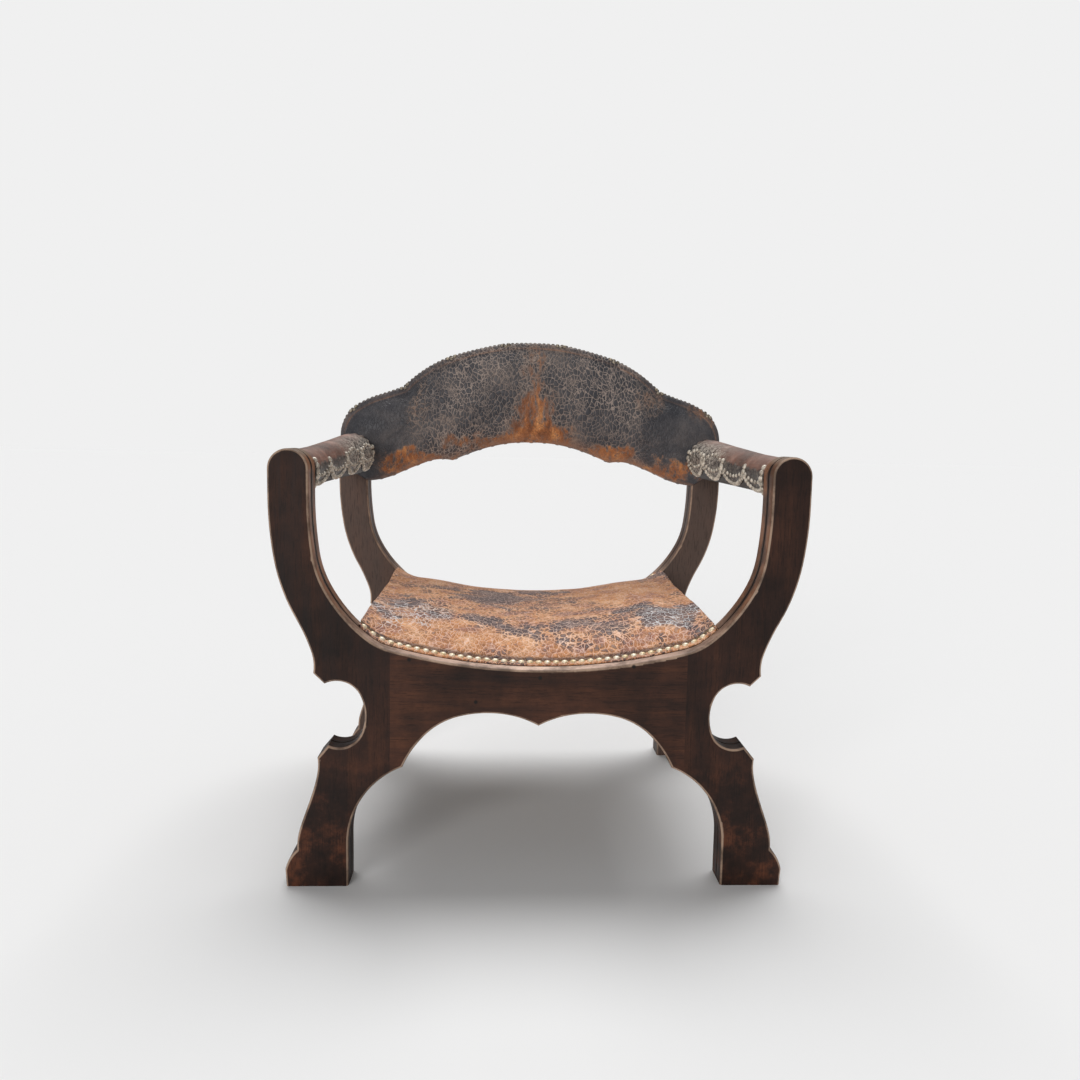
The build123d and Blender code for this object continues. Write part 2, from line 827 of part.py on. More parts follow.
nail_inset = seat_flap_lap - seat_nail_edge_distance
finish(rail_nails(front_frame_back_y - nail_inset), "seat_front_nails")
finish(rail_nails(rear_frame_front_y + nail_inset), "seat_rear_nails")

side_nail_height = skirt_top_height - seat_skirt_drop + seat_nail_edge_distance
side_places = []
for side in (-1, 1):
    for distance in spaced(bay_depth, side_nail_pitch):
        point = (side * (skirt_outer_x + layer_gap), front_frame_back_y + distance, side_nail_height)
        side_places.append((point, (side, 0, 0)))
finish(place_nails(side_places), "seat_side_nails")

# The crest's nails follow the scalloped edge of the front leather over the top of the board:
# the notches between scallops reach the front arris and the scallops run to the rear.
def outline_nails(edges, facing, pitch, scallops, near_y, depth):
    """Nails along part of the back's outline, at depths that follow a scalloped line.

    The nails face away from the centre of the arch for facing 1 and towards it for facing -1.
    """
    path = Wire(edges)
    places = []
    for distance in spaced(path.length, pitch):
        share = distance / path.length
        along = path % share
        point = path @ share
        outward = Vector(along.Y, 0, -along.X)
        if abs(abs(point.X) - board_crest_cusp[0]) < nail_head_radius:
            continue
        radial = Vector(point.X, 0, point.Y - arch_centre_height)
        if facing * outward.dot(radial) < 0:
            outward = outward * -1
        wave = abs(math.cos(math.pi * scallops * (share - 0.5)))
        seat = Vector(point.X, near_y + wave * depth, point.Y) + outward * nail_gap
        places.append((seat, outward))
    return place_nails(places)


outline_edges = leather_outline.edges()
crest_edges = outline_edges.filter_by(lambda edge: edge.center().Y > board_ear_top[1])
crest_near_y = rear_frame_front_y + nail_head_radius
finish(
    outline_nails(
        crest_edges, 1, crest_nail_pitch, crest_scallops, crest_near_y, crest_scallop_depth
    ),
    "back_crest_nails",
)

lower_edges = outline_edges.filter_by(
    lambda edge: edge.center().Y < board_ear_top[1]
    and abs(edge.center().X) < board_side_x - lower_nail_corner_gap
)
finish(
    outline_nails(lower_edges, -1, lower_nail_pitch, 0, rear_frame_front_y + board_thickness / 2, 0),
    "back_lower_nails",
)


def roll_at(share):
    """Centre and radius of the right armrest roll at a share of its length."""
    for index in range(len(roll_stations) - 1):
        if share <= roll_stations[index + 1]:
            break
    start, end = roll_stations[index], roll_stations[index + 1]
    part_way = (share - start) / (end - start)
    radius = roll_radii[index] + part_way * (roll_radii[index + 1] - roll_radii[index])
    x = roll_front_x + share * (roll_rear_x - roll_front_x)
    height = roll_front_height + share * (roll_rear_height - roll_front_height)
    return x, height, radius


for side, ending in ((-1, "left"), (1, "right")):
    roll_places = []
    shares_and_angles = []
    for scallop in range(arm_scallops):
        for index in range(arm_nails_per_scallop):
            part_way = (index + 0.5) / arm_nails_per_scallop
            drop = math.sin(math.pi * part_way) ** arm_scallop_squareness
            share = arm_scallop_start + (scallop + part_way) * arm_scallop_share
            angle = arm_scallop_top_angle + drop * (arm_scallop_low_angle - arm_scallop_top_angle)
            shares_and_angles.append((share, angle))
    for scallop in range(arm_scallops + 1):
        for step in (1, 2):
            angle = arm_scallop_top_angle - step * arm_pair_angle
            shares_and_angles.append((arm_scallop_start + scallop * arm_scallop_share, angle))
    for share, angle in shares_and_angles:
        x, z, radius = roll_at(share)
        outward = Vector(-math.cos(math.radians(angle)), 0, -math.sin(math.radians(angle)))
        point = Vector(x, roll_front_y + share * roll_length, z) + outward * (radius + nail_gap)
        roll_places.append(((side * point.X, point.Y, point.Z), (side * outward.X, 0, outward.Z)))
    finish(place_nails(roll_places), f"armrest_nails_{ending}")
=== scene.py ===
"""Looks of a curule armchair: dark oak plank frames, crackled leather seat, back and armrests."""

import math

import bmesh
import bpy
import numpy as np
from mathutils import Matrix, Vector


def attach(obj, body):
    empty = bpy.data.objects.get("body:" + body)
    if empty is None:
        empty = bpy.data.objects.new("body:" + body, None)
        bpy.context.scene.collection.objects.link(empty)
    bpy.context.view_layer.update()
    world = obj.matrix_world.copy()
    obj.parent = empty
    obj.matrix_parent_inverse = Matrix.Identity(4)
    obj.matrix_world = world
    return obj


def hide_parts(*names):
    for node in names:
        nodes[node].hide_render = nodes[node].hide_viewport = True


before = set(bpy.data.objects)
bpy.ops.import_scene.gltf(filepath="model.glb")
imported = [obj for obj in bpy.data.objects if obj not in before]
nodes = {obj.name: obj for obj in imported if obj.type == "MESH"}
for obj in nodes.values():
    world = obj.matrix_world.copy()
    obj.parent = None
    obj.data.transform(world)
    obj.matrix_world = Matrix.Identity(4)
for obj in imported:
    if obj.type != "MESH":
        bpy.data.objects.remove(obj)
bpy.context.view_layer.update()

# ------------------------------------------------------------------ camera
# A 30 mm lens at standing height in front of the chair, a little to the left of its middle,
# looking slightly down and turned slightly to the right.

camera_place = Vector((-0.0513, -1.4262, 0.5958))
camera_pitch = math.radians(6.33)
camera_yaw = math.radians(2.42)
camera_roll = math.radians(1.05)

camera = bpy.data.objects.new("camera", bpy.data.cameras.new("camera"))
camera.data.lens = 30
camera.data.sensor_width = 36
camera.data.sensor_fit = "HORIZONTAL"
camera.data.clip_end = 60
forward = Vector(
    (
        math.sin(camera_yaw) * math.cos(camera_pitch),
        math.cos(camera_yaw) * math.cos(camera_pitch),
        -math.sin(camera_pitch),
    )
)
level_right = Vector((math.cos(camera_yaw), -math.sin(camera_yaw), 0))
level_up = level_right.cross(forward)
right = math.cos(camera_roll) * level_right + math.sin(camera_roll) * level_up
up = -math.sin(camera_roll) * level_right + math.cos(camera_roll) * level_up
turn = Matrix((right, up, -forward)).transposed().to_4x4()
camera.matrix_world = Matrix.Translation(camera_place) @ turn
bpy.context.collection.objects.link(camera)
bpy.context.scene.camera = camera

# ------------------------------------------------------------------ studio
# A pale floor before a backdrop of the same grey, with even light from all round, a broad light
# overhead and a weaker one in front.


def linear(code):
    """Linear colour of an sRGB hex code, opaque."""
    parts = [int(code[i : i + 2], 16) / 255 for i in (1, 3, 5)]
    return (*(c / 12.92 if c <= 0.04045 else ((c + 0.055) / 1.055) ** 2.4 for c in parts), 1.0)


def node(tree, kind, values=None, links=None, **settings):
    """Add a shader node with settings, socket values and links."""
    item = tree.nodes.new("ShaderNode" + kind)
    for name, value in settings.items():
        setattr(item, name, value)
    for name, value in (values or {}).items():
        item.inputs[name].default_value = value
    for name, value in (links or {}).items():
        tree.links.new(value, item.inputs[name])
    return item


def material(name, roughness=0.6, **sockets):
    """New material; returns it with its node tree and shader."""
    made = bpy.data.materials.new(name)
    made.use_nodes = True
    shader = made.node_tree.nodes["Principled BSDF"]
    shader.inputs["Roughness"].default_value = roughness
    for socket, value in sockets.items():
        shader.inputs[socket.replace("_", " ")].default_value = value
    return made, made.node_tree, shader


def mesh_object(name, points, faces, smooth=True):
    """Object from points in metres and faces, each anticlockwise as seen from outside."""
    mesh = bpy.data.meshes.new(name)
    mesh.from_pydata(np.asarray(points, dtype=float).tolist(), [], [list(f) for f in faces])
    mesh.update()
    mesh.polygons.foreach_set("use_smooth", [smooth] * len(mesh.polygons))
    made = bpy.data.objects.new(name, mesh)
    bpy.context.collection.objects.link(made)
    return made


backdrop_grey = linear("#f0f0f0")
world_strength = 0.26
floor_reach = 30.0
corners = [(x * floor_reach, y * floor_reach, 0) for x, y in ((-1, -1), (1, -1), (1, 1), (-1, 1))]
floor = mesh_object("studio_floor", corners, [(0, 1, 2, 3)], smooth=False)
paper, tree, shader = material("pale paper floor", roughness=0.95)
shader.inputs["Base Color"].default_value = backdrop_grey
shader.inputs["Specular IOR Level"].default_value = 0.0
floor.data.materials.append(paper)

world = bpy.data.worlds.new("studio")
bpy.context.scene.world = world
world.use_nodes = True
tree = world.node_tree
surroundings = tree.nodes["Background"]
surroundings.inputs["Color"].default_value = (1, 1, 1, 1)
surroundings.inputs["Strength"].default_value = world_strength
backdrop = node(tree, "Background", {"Color": backdrop_grey, "Strength": 1.0})
seen = node(tree, "LightPath").outputs["Is Camera Ray"]
chosen = node(tree, "MixShader", links={0: seen, 1: surroundings.outputs[0], 2: backdrop.outputs[0]})
tree.links.new(chosen.outputs[0], tree.nodes["World Output"].inputs["Surface"])

for name, comes_from, spread, strength in (
    ("overhead_light", (0.05, 0.45, 1.0), 44, 2.2),
    ("front_light", (-0.45, -1.0, 0.32), 30, 1.15),
):
    lamp = bpy.data.lights.new(name, "SUN")
    lamp.angle = math.radians(spread)
    lamp.energy = strength
    light = bpy.data.objects.new(name, lamp)
    light.rotation_euler = Vector(comes_from).to_track_quat("Z", "Y").to_euler()
    bpy.context.collection.objects.link(light)

bpy.context.scene.view_settings.view_transform = "Standard"

# ------------------------------------------------------------------ oak frames
# Planks of oak, stained almost black and waxed. The grain runs up the uprights and along the
# rails, the feet show redder wood, and all edges are rubbed pale, with painted shade in the groove
# along their middle.


def plugged(tree, item, slots):
    """The node with each numbered input linked to a socket or set to a constant."""
    for slot, value in slots.items():
        if isinstance(value, bpy.types.NodeSocket):
            tree.links.new(value, item.inputs[slot])
        else:
            item.inputs[slot].default_value = value
    return item


def mix(tree, factor, first, second, blend="MIX"):
    """Two colours blended by a factor."""
    item = node(tree, "Mix", data_type="RGBA", blend_type=blend)
    return plugged(tree, item, {0: factor, 6: first, 7: second}).outputs[2]


def shaded(tree, tone, shade):
    """A colour multiplied by another or by a value."""
    return mix(tree, 1.0, tone, shade, "MULTIPLY")


def combine(tree, operation, first, second=0.0):
    """Result of one arithmetic step."""
    return plugged(tree, node(tree, "Math", operation=operation), {0: first, 1: second}).outputs[0]


def times(tree, first, *others):
    """Product of values."""
    for other in others:
        first = combine(tree, "MULTIPLY", first, other)
    return first


def remap(tree, value, low, high, start=0.0, end=1.0):
    """Value eased from one range into another and held within it."""
    item = node(tree, "MapRange", interpolation_type="SMOOTHSTEP")
    return plugged(tree, item, {0: value, 1: low, 2: high, 3: start, 4: end}).outputs[0]


def object_place(tree):
    """Place on the part, in metres."""
    return node(tree, "TexCoord").outputs["Object"]


def stretched(tree, place, scale):
    """Places scaled by axis; under 1 draws a pattern out along that axis."""
    return node(tree, "Mapping", {"Scale": scale}, {"Vector": place}).outputs[0]


def noise(tree, place, scale, detail=3.0, roughness=0.5, distortion=0.0):
    """Cloudy noise, mostly between 0.3 and 0.7."""
    settings = {"Scale": scale, "Detail": detail, "Roughness": roughness, "Distortion": distortion}
    return node(tree, "TexNoise", settings, {"Vector": place}).outputs[0]


def ramp(tree, value, *stops):
    """Colour of a value, through stops of a position and a hex code."""
    item = node(tree, "ValToRGB", links={0: value})
    elements = item.color_ramp.elements
    for index, (position, code) in enumerate(stops):
        element = elements[index] if index < 2 else elements.new(position)
        element.position = position
        element.color = linear(code)
    return item.outputs[0]


def spot(tree, split, middle, radius):
    """Soft spot, 1 in its middle and 0 beyond its radii; both are metres by axis."""
    total = 0.0
    for axis in middle:
        offset = combine(tree, "SUBTRACT", split.outputs[axis], middle[axis])
        scaled = combine(tree, "DIVIDE", offset, radius[axis])
        total = combine(tree, "ADD", times(tree, scaled, scaled), total)
    return remap(tree, total, 1.0, 0.0)


def surface(tree, shader, tone, height, strength, distance, roughness=None):
    """Link a colour, a bump from a height and, where one is given, a roughness."""
    tree.links.new(tone, shader.inputs["Base Color"])
    bump = node(tree, "Bump", {"Strength": strength, "Distance": distance}, {"Height": height})
    tree.links.new(bump.outputs[0], shader.inputs["Normal"])
    if roughness is not None:
        tree.links.new(roughness, shader.inputs["Roughness"])


def finish_nodes(finish, *names):
    """Give CAD nodes a material in place of their own."""
    for name in names:
        nodes[name].data.materials.clear()
        nodes[name].data.materials.append(finish)


# Metres: depths of the planks' middle and of the front face, half the width of the groove in
# their edges at its rim and at its floor, and small knocks in the front rail
plank_middle = 0.253
front_face = -0.275
groove_rim, groove_floor = 0.0062, 0.005
knocks = ((0.001, 0.286), (-0.083, 0.253), (-0.17, 0.309), (0.124, 0.302))
knock_radius, knock_depth = 0.0036, 0.02
grain_stretch = 0.07


def stained_oak(name, grain_axis, tint):
    """Dark stained oak, tinted, whose grain runs along the given axis (0 for X, 2 for Z)."""
    made, tree, shader = material(name, Specular_IOR_Level=0.22)
    texture = node(tree, "TexCoord")
    place = texture.outputs["Object"]
    split = node(tree, "SeparateXYZ", links={0: place})
    facing = node(tree, "SeparateXYZ", links={0: texture.outputs["Normal"]})
    along = stretched(tree, place, [grain_stretch if axis == grain_axis else 1 for axis in range(3)])
    figure = noise(tree, along, 55, 6, 0.62, 0.4)
    pores = noise(tree, along, 620, 3, 0.7)
    clouds = noise(tree, place, 7, 3, 0.55)
    rubs = noise(tree, place, 26, 5, 0.65)

    # Figure of the grain, with darker and paler areas
    tone = ramp(tree, figure, (0.3, "#30211b"), (0.52, "#3f2c24"), (0.74, "#533c30"))
    tone = shaded(tree, tone, ramp(tree, clouds, (0.35, "#a39d9b"), (0.68, "#fff1e8")))
    tone = shaded(tree, tone, ramp(tree, rubs, (0.34, "#b9aeab"), (0.66, "#ffeadb")))
    tone = shaded(tree, tone, tint)

    # Redder feet, a greyer rear frame and dark pores
    near_floor = remap(tree, split.outputs["Z"], 0.22, 0.04)
    redder = times(tree, near_floor, remap(tree, rubs, 0.4, 0.64, 0.3, 1.0))
    feet_tone = ramp(tree, rubs, (0.36, "#1c0f0a"), (0.5, "#331c12"), (0.64, "#5a321f"))
    tone = mix(tree, redder, tone, feet_tone)
    behind = remap(tree, split.outputs["Y"], 0.0, 0.1, 0.0, 0.4)
    tone = mix(tree, behind, tone, linear("#7b675d"))
    tone = shaded(tree, tone, remap(tree, pores, 0.36, 0.48, 0.6, 1.0))

    # Inner edges of the arms, rubbed brown
    rubbed = remap(tree, rubs, 0.36, 0.6, 0.35, 1.0)
    flat = combine(tree, "ABSOLUTE", facing.outputs["Y"])
    square = remap(tree, flat, 0.45, 0.2)
    outward = times(tree, facing.outputs["X"], combine(tree, "SIGN", split.outputs["X"]))
    inner = times(
        tree,
        remap(tree, outward, -0.15, -0.6),
        square,
        remap(tree, split.outputs["Z"], 0.3, 0.36),
        remap(tree, split.outputs["Y"], 0.0, -0.1, 0.2, 1.0),
    )
    tone = mix(tree, times(tree, inner, rubbed), tone, linear("#8c6044"))

    # Rail tops, rubbed pale in the middle
    facing_up = remap(tree, facing.outputs["Z"], 0.5, 0.8)
    on_top = times(tree, facing_up, square, remap(tree, split.outputs["Z"], 0.27, 0.29))
    from_middle = combine(tree, "ABSOLUTE", split.outputs["X"])
    top_tone = ramp(tree, from_middle, (0.0, "#f2d3c0"), (0.16, "#c9aa99"), (0.3, "#84705f"))
    tone = mix(tree, times(tree, on_top, rubbed), tone, top_tone)

    # Painted shade: the groove along the middle of the other edges is darkened
    depth = combine(tree, "ABSOLUTE", split.outputs["Y"])
    from_groove = combine(tree, "ABSOLUTE", combine(tree, "SUBTRACT", depth, plank_middle))
    groove_shade = remap(tree, from_groove, groove_rim, groove_floor)
    groove_shade = times(tree, groove_shade, combine(tree, "SUBTRACT", square, on_top), 0.85)
    tone = mix(tree, groove_shade, tone, linear("#1d1613"))

    # Pale arrises and dark knocks
    arris = times(tree, remap(tree, flat, 0.985, 0.88), remap(tree, flat, 0.22, 0.5))
    tone = mix(tree, times(tree, arris, rubbed), tone, linear("#a98e7a"))
    for x, z in knocks:
        middle = {"X": x, "Y": front_face, "Z": z}
        radius = {"X": knock_radius, "Y": knock_depth, "Z": knock_radius}
        tone = mix(tree, spot(tree, split, middle, radius), tone, linear("#140f0d"))

    roughness = remap(tree, figure, 0.3, 0.7, 0.42, 0.62)
    surface(tree, shader, tone, pores, 0.35, 0.0004, roughness)
    return made


oak_upright = stained_oak("stained oak, upright grain", 2, (1, 1, 1, 1))
oak_rail = stained_oak("stained oak, level grain", 0, (1.75, 1.7, 1.58, 1))
finish_nodes(oak_upright, "front_left_upright", "front_right_upright")
finish_nodes(oak_upright, "rear_left_upright", "rear_right_upright")
finish_nodes(oak_rail, "front_seat_rail", "rear_seat_rail")

# ------------------------------------------------------------------ inner wood and suspension
# Plain beech for the hidden seat rails, back board and armrest cores, turned beech dowels, steel
# screws, jute webbing and hessian.


def plain_wood(name, pale, dark):
    """Unfinished beech with fine straight grain."""
    made, tree, shader = material(name, roughness=0.7)
    grain = noise(tree, stretched(tree, object_place(tree), (1, 0.08, 1)), 160, 5, 0.6)
    surface(tree, shader, ramp(tree, grain, (0.3, dark), (0.7, pale)), grain, 0.3, 0.0004)
    return made


def woven(name, pale, dark, thread):
    """Plain weave of coarse yarn, thread metres apart."""
    made, tree, shader = material(name, roughness=0.9)
    place = object_place(tree)
    split = node(tree, "SeparateXYZ", links={0: place})
    wave_count = math.tau / (2 * thread)
    wave_x, wave_y = (
        combine(tree, "SINE", times(tree, split.outputs[axis], wave_count)) for axis in ("X", "Y")
    )
    weave = times(tree, wave_x, wave_y, 0.9)
    relief = combine(tree, "ADD", weave, noise(tree, place, 90, 4))
    surface(tree, shader, ramp(tree, relief, (0.0, dark), (1.0, pale)), relief, 0.6, 0.0006)
    return made


beech = plain_wood("sawn beech, darkened with age", "#7a5d43", "#503925")
turned_beech = plain_wood("turned beech", "#c09a70", "#97734e")
jute = woven("woven jute webbing", "#8d7250", "#4d3c27", 0.003)
hessian = woven("woven hessian", "#8f7956", "#57462d", 0.0016)
steel, tree, shader = material("plain steel", roughness=0.4, Metallic=1.0)
scuffs = noise(tree, object_place(tree), 300, 4)
tree.links.new(ramp(tree, scuffs, (0.3, "#5c5854"), (0.7, "#a5a09a")), shader.inputs["Base Color"])

finish_nodes(beech, "seat_side_rail_left", "seat_side_rail_right", "back_board")
finish_nodes(beech, "armrest_core_left", "armrest_core_right")
finish_nodes(turned_beech, "front_frame_dowels", "rear_frame_dowels")
finish_nodes(turned_beech, "seat_side_rail_dowels", "back_board_dowels")
finish_nodes(jute, "seat_webbing_lengthwise", "seat_webbing_crosswise")
finish_nodes(hessian, "seat_base_cloth")
finish_nodes(steel, "armrest_rear_screws")

# ------------------------------------------------------------------ seat leather
# One hide over a crowned pad, slung between the two frames. It is nailed along both rail tops,
# falls steeply to the nails at front and rear, and turns down over the side rails.


def grid_faces(rows, columns, wrap=False):
    """Quads between neighbouring points of a grid stored row by row."""
    wide = columns if wrap else columns - 1
    row, column = np.meshgrid(np.arange(rows - 1), np.arange(wide), indexing="ij")
    here = row * columns + column
    beside = row * columns + (column + 1) % columns
    quads = np.stack([here, beside, beside + columns, here + columns], axis=-1)
    return quads.reshape(-1, 4).tolist()


def arc_line(heading, points, steps=24):
    """Points along arcs from point to point, each leaving as the one before it arrives."""
    angle = math.atan2(heading[1], heading[0])
    line = [np.array([points[0]], dtype=float)]
    for start, end in zip(points, points[1:]):
        chord = np.subtract(end, start)
        bend = (math.atan2(chord[1], chord[0]) - angle + math.pi) % math.tau - math.pi
        radius = np.linalg.norm(chord) / (2 * math.sin(bend))
        swing = angle + 2 * bend * np.linspace(0, 1, steps + 1)[1:]
        across = radius * (np.sin(swing) - math.sin(angle))
        upwards = radius * (math.cos(angle) - np.cos(swing))
        line.append(np.stack([start[0] + across, start[1] + upwards], -1))
        angle += 2 * bend
    return np.vstack(line)


# Inner edge of the frames, in mm across and up, from the arm down to the middle of the rail
frame_inner_edge = arc_line(
    (0, -1), [(298, 518), (292.9, 444.5), (277.9, 399.2), (223.3, 335), (195, 321), (0, 296)]
)[::-1]


def seat_line(x):
    """Height in mm of the rail tops at distance x from the middle."""
    return np.interp(np.abs(x), frame_inner_edge[:, 0], frame_inner_edge[:, 1])


def paint(made, name, values):
    """Store one number per point of a piece, for its material to read."""
    layer = made.data.attributes.new(name, "FLOAT", "POINT")
    layer.data.foreach_set("value", np.asarray(values, dtype=np.float32).ravel())


def smooth_noise(points, size, seed):
    """Smooth random field in about -1 to 1: a sum of eight plane waves of one wavelength."""
    rng = np.random.default_rng(seed)
    total = np.zeros(points.shape[:-1])
    for _ in range(8):
        direction = rng.normal(size=points.shape[-1])
        direction /= np.linalg.norm(direction)
        total += np.sin(points @ direction * math.tau / size + rng.uniform(0, math.tau))
    return total / 4


def closed_shell(made, thickness):
    """Give an open sheet a thickness on its inner side and close its rim."""
    solid = made.modifiers.new("thickness", "SOLIDIFY")
    solid.thickness = thickness
    solid.offset = -1
    solid.use_even_offset = False


# Millimetres: half the width of the leather between its side edges, its outer face above the
# rail tops, and half the depth of the bay between the frames
half_span = 238.5
leather_lift = 2.6
bay_half = 231
# Points of the crown: depth from the chair's middle and height
crown = np.array(
    [(-253, 0), (-237, 0), (-231, 2.5), (-226, 7.5), (-215, 15), (-200, 21.5), (-160, 30)]
    + [(-125, 34), (0, 37), (125, 36), (200, 24), (222, 11), (231, 2.5), (253, 0)]
)
crown_blur = [0.1, 0.2, 0.4, 0.2, 0.1]
# Beyond fall_from the crown falls by these shares at its side edges, in front and at the rear
fall_from, fall_width = 150, 88
fall_depths, fall_shares = [60, 180], [0.84, 0.5]
# Unevenness of the pad: sizes and heights of its lumps, and how much of it shows at the rear
lump_sizes, lump_heights = (95, 38), (0.9, 0.4)
rear_lump_share = 0.45
# Turned-down sides, from the hem up: drop below the seat's edge and distance outwards; then the
# hem below the rail tops, its clearance from the side rails, and the fold below the seat's edge
skirt_rows = ((38, 1.9), (28, 2.2), (18, 2.4), (9, 2.3), (4, 1.7), (1.2, 0.8))
hem_drop, hem_clearance, fold_drop = 31, 0.2, 1.2
hide_thickness = 0.0022

across = np.linspace(-1, 1, 121)
seat_x = np.sign(across) * half_span * (1 - (1 - np.abs(across)) ** 1.15)
front_y = np.array([-253, -250, -247, -244, -241, -238.5, -236.5, -234, -231, -226, -220, -212])
seat_y = np.concatenate([front_y, np.linspace(-204, 204, 61), -front_y[::-1]])
rise = np.interp(seat_y, crown[:, 0], crown[:, 1])
rise = np.convolve(np.pad(rise, 2, mode="edge"), crown_blur, mode="valid")
fall = np.clip((np.abs(seat_x) - fall_from) / fall_width, 0, 1)
crown_share = 1 - np.interp(seat_y, fall_depths, fall_shares)[:, None] * fall**2
x_grid, y_grid = np.meshgrid(seat_x, seat_y)
plan = np.stack([x_grid, y_grid], -1)
lumps = smooth_noise(plan, lump_sizes[0], 3) * lump_heights[0]
lumps += smooth_noise(plan, lump_sizes[1], 5) * lump_heights[1]
padded = np.clip(rise / 20, 0, 1) * np.where(seat_y > 0, rear_lump_share, 1)
z_grid = seat_line(x_grid) + leather_lift + rise[:, None] * crown_share + lumps * padded[:, None]
seat_top = np.stack([x_grid, y_grid, z_grid], -1)
in_bay = np.clip((bay_half - np.abs(seat_y)) / 6, 0, 1)


def skirt(edge, side):
    """Turned-down side of the leather: columns of points from its hem up to the seat's edge.

    In the bay it lies on the side rail, and over the front and rear rails it is only tucked in.
    """
    x, y, z = edge.T
    columns = []
    for drop, out in skirt_rows:
        on_rail = seat_line(x) - hem_clearance + (skirt_rows[0][0] - drop) - hem_drop
        on_rail = np.minimum(z - fold_drop, on_rail)
        z_here = on_rail * in_bay + (z - drop * 0.15) * (1 - in_bay)
        z_here = np.minimum(z_here, z - drop * 0.05)
        columns.append(np.stack([x + side * out * in_bay, y, z_here], -1)[:, None])
    return columns


left_skirt, right_skirt = skirt(seat_top[:, 0], -1), skirt(seat_top[:, -1], 1)
seat_points = np.concatenate([*left_skirt, seat_top, *right_skirt[::-1]], axis=1)
seat_cover = mesh_object(
    "seat_leather_cover",
    seat_points.reshape(-1, 3) / 1000,
    grid_faces(*seat_points.shape[:2]),
)
closed_shell(seat_cover, hide_thickness)


def warped(tree, place, scale, amount):
    """Places shifted to and fro by up to about the given distance."""
    cloud = node(tree, "TexNoise", {"Scale": scale, "Detail": 3}, {"Vector": place})
    shift = node(
        tree, "VectorMath", {1: (0.5, 0.5, 0.5)}, {0: cloud.outputs["Color"]}, operation="SUBTRACT"
    ).outputs[0]
    factors = {1: (2 * amount, 2 * amount, 2 * amount)}
    links = {0: shift, 2: place}
    return node(tree, "VectorMath", factors, links, operation="MULTIPLY_ADD").outputs[0]


def pebbled(tree, place, pebble, stretch=(1, 1, 1)):
    """Distance from the creases of a dried hide: 0 in a crease, about 0.4 inside a pebble."""
    bent = warped(tree, warped(tree, place, 0.1 / pebble, 1.8 * pebble), 0.8 / pebble, 0.35 * pebble)
    mapped = stretched(tree, bent, stretch)
    whole, part = (
        node(tree, "TexVoronoi", {"Scale": scale}, {"Vector": mapped}, feature="DISTANCE_TO_EDGE")
        for scale in (1 / pebble, 2.1 / pebble)
    )
    intact = remap(tree, noise(tree, place, 0.4 / pebble, 3), 0.42, 0.58, 0.0, 0.3)
    return combine(tree, "MINIMUM", whole.outputs[0], combine(tree, "ADD", part.outputs[0], intact))


def with_spots(tree, wear, split, axis, spots):
    """Wear with soft spots added: middle in X and the axis, radii in both, and amount."""
    for x, beside, wide, high, amount in spots:
        patch = spot(tree, split, {"X": x, axis: beside}, {"X": wide, axis: high})
        wear = combine(tree, "ADD", wear, times(tree, patch, amount))
    return wear


def cracked_hide(tree, edge, wear, rubbed_tone, coat_tone):
    """Colour of a hide whose dark coat is left as islands on the pebbles, smaller with more wear."""
    left = combine(tree, "SUBTRACT", edge, times(tree, wear, 0.33))
    thinned = mix(tree, remap(tree, wear, 0.0, 1.0, 0.0, 0.75), coat_tone, rubbed_tone)
    return mix(tree, remap(tree, left, -0.03, 0.09), rubbed_tone, thinned)


def speckled(tree, place, tone, darkest, palest):
    """A colour with fine specks, multiplied by between the two values."""
    return shaded(tree, tone, remap(tree, noise(tree, place, 330, 3, 0.6), 0.3, 0.7, darkest, palest))


# Metres: places where the coat is kept (below 0) or rubbed away, on the seat as seen from above
seat_wear = (
    (-0.03, 0.03, 0.14, 0.13, -0.45),
    (-0.17, -0.1, 0.08, 0.09, -0.6),
    (0.19, -0.13, 0.06, 0.07, -0.5),
    (0.23, 0.15, 0.04, 0.08, -0.5),
    (0.15, 0.07, 0.12, 0.15, 0.75),
    (-0.17, 0.13, 0.09, 0.1, 0.35),
    (0.0, -0.215, 0.24, 0.025, 0.25),
    (-0.02, -0.15, 0.12, 0.05, -0.3),
)
# Metres: middles, across and in depth, of the painted bluish reflections near the seat's front
# corners
glint_corner_x, glint_corner_y = (-0.185, 0.195), -0.14

seat_hide, tree, shader = material("crackled tan seat leather", Specular_IOR_Level=0.3)
place = object_place(tree)
split = node(tree, "SeparateXYZ", links={0: place})
patchy = node(tree, "SeparateXYZ", links={0: warped(tree, place, 24, 0.09)})
edge = pebbled(tree, place, 0.0078, (1.1, 0.7, 1))
crease = remap(tree, edge, 0.07, 0.0)
stains = noise(tree, place, 11, 7, 0.68, 0.5)
wear = with_spots(tree, remap(tree, stains, 0.36, 0.62, 0.0, 0.8), patchy, "Y", seat_wear)
tan_clouds = noise(tree, place, 30, 5, 0.6)
rubbed_tone = ramp(tree, tan_clouds, (0.34, "#ad7864"), (0.5, "#d4925f"), (0.66, "#efb78a"))
coat_clouds = noise(tree, place, 17, 5, 0.6)
coat_tone = ramp(tree, coat_clouds, (0.36, "#54484a"), (0.52, "#735f5c"), (0.68, "#957669"))
tone = cracked_hide(tree, edge, wear, rubbed_tone, coat_tone)
tone = speckled(tree, place, tone, 0.82, 1.12)
tone = mix(tree, times(tree, crease, 0.62), tone, linear("#f2d2c2"))
# Painted bluish reflection in the creases near the two front corners
for x in glint_corner_x:
    corner_glint = spot(tree, patchy, {"X": x, "Y": glint_corner_y}, {"X": 0.07, "Y": 0.06})
    tone = mix(tree, times(tree, corner_glint, crease), tone, linear("#d3d8dc"))
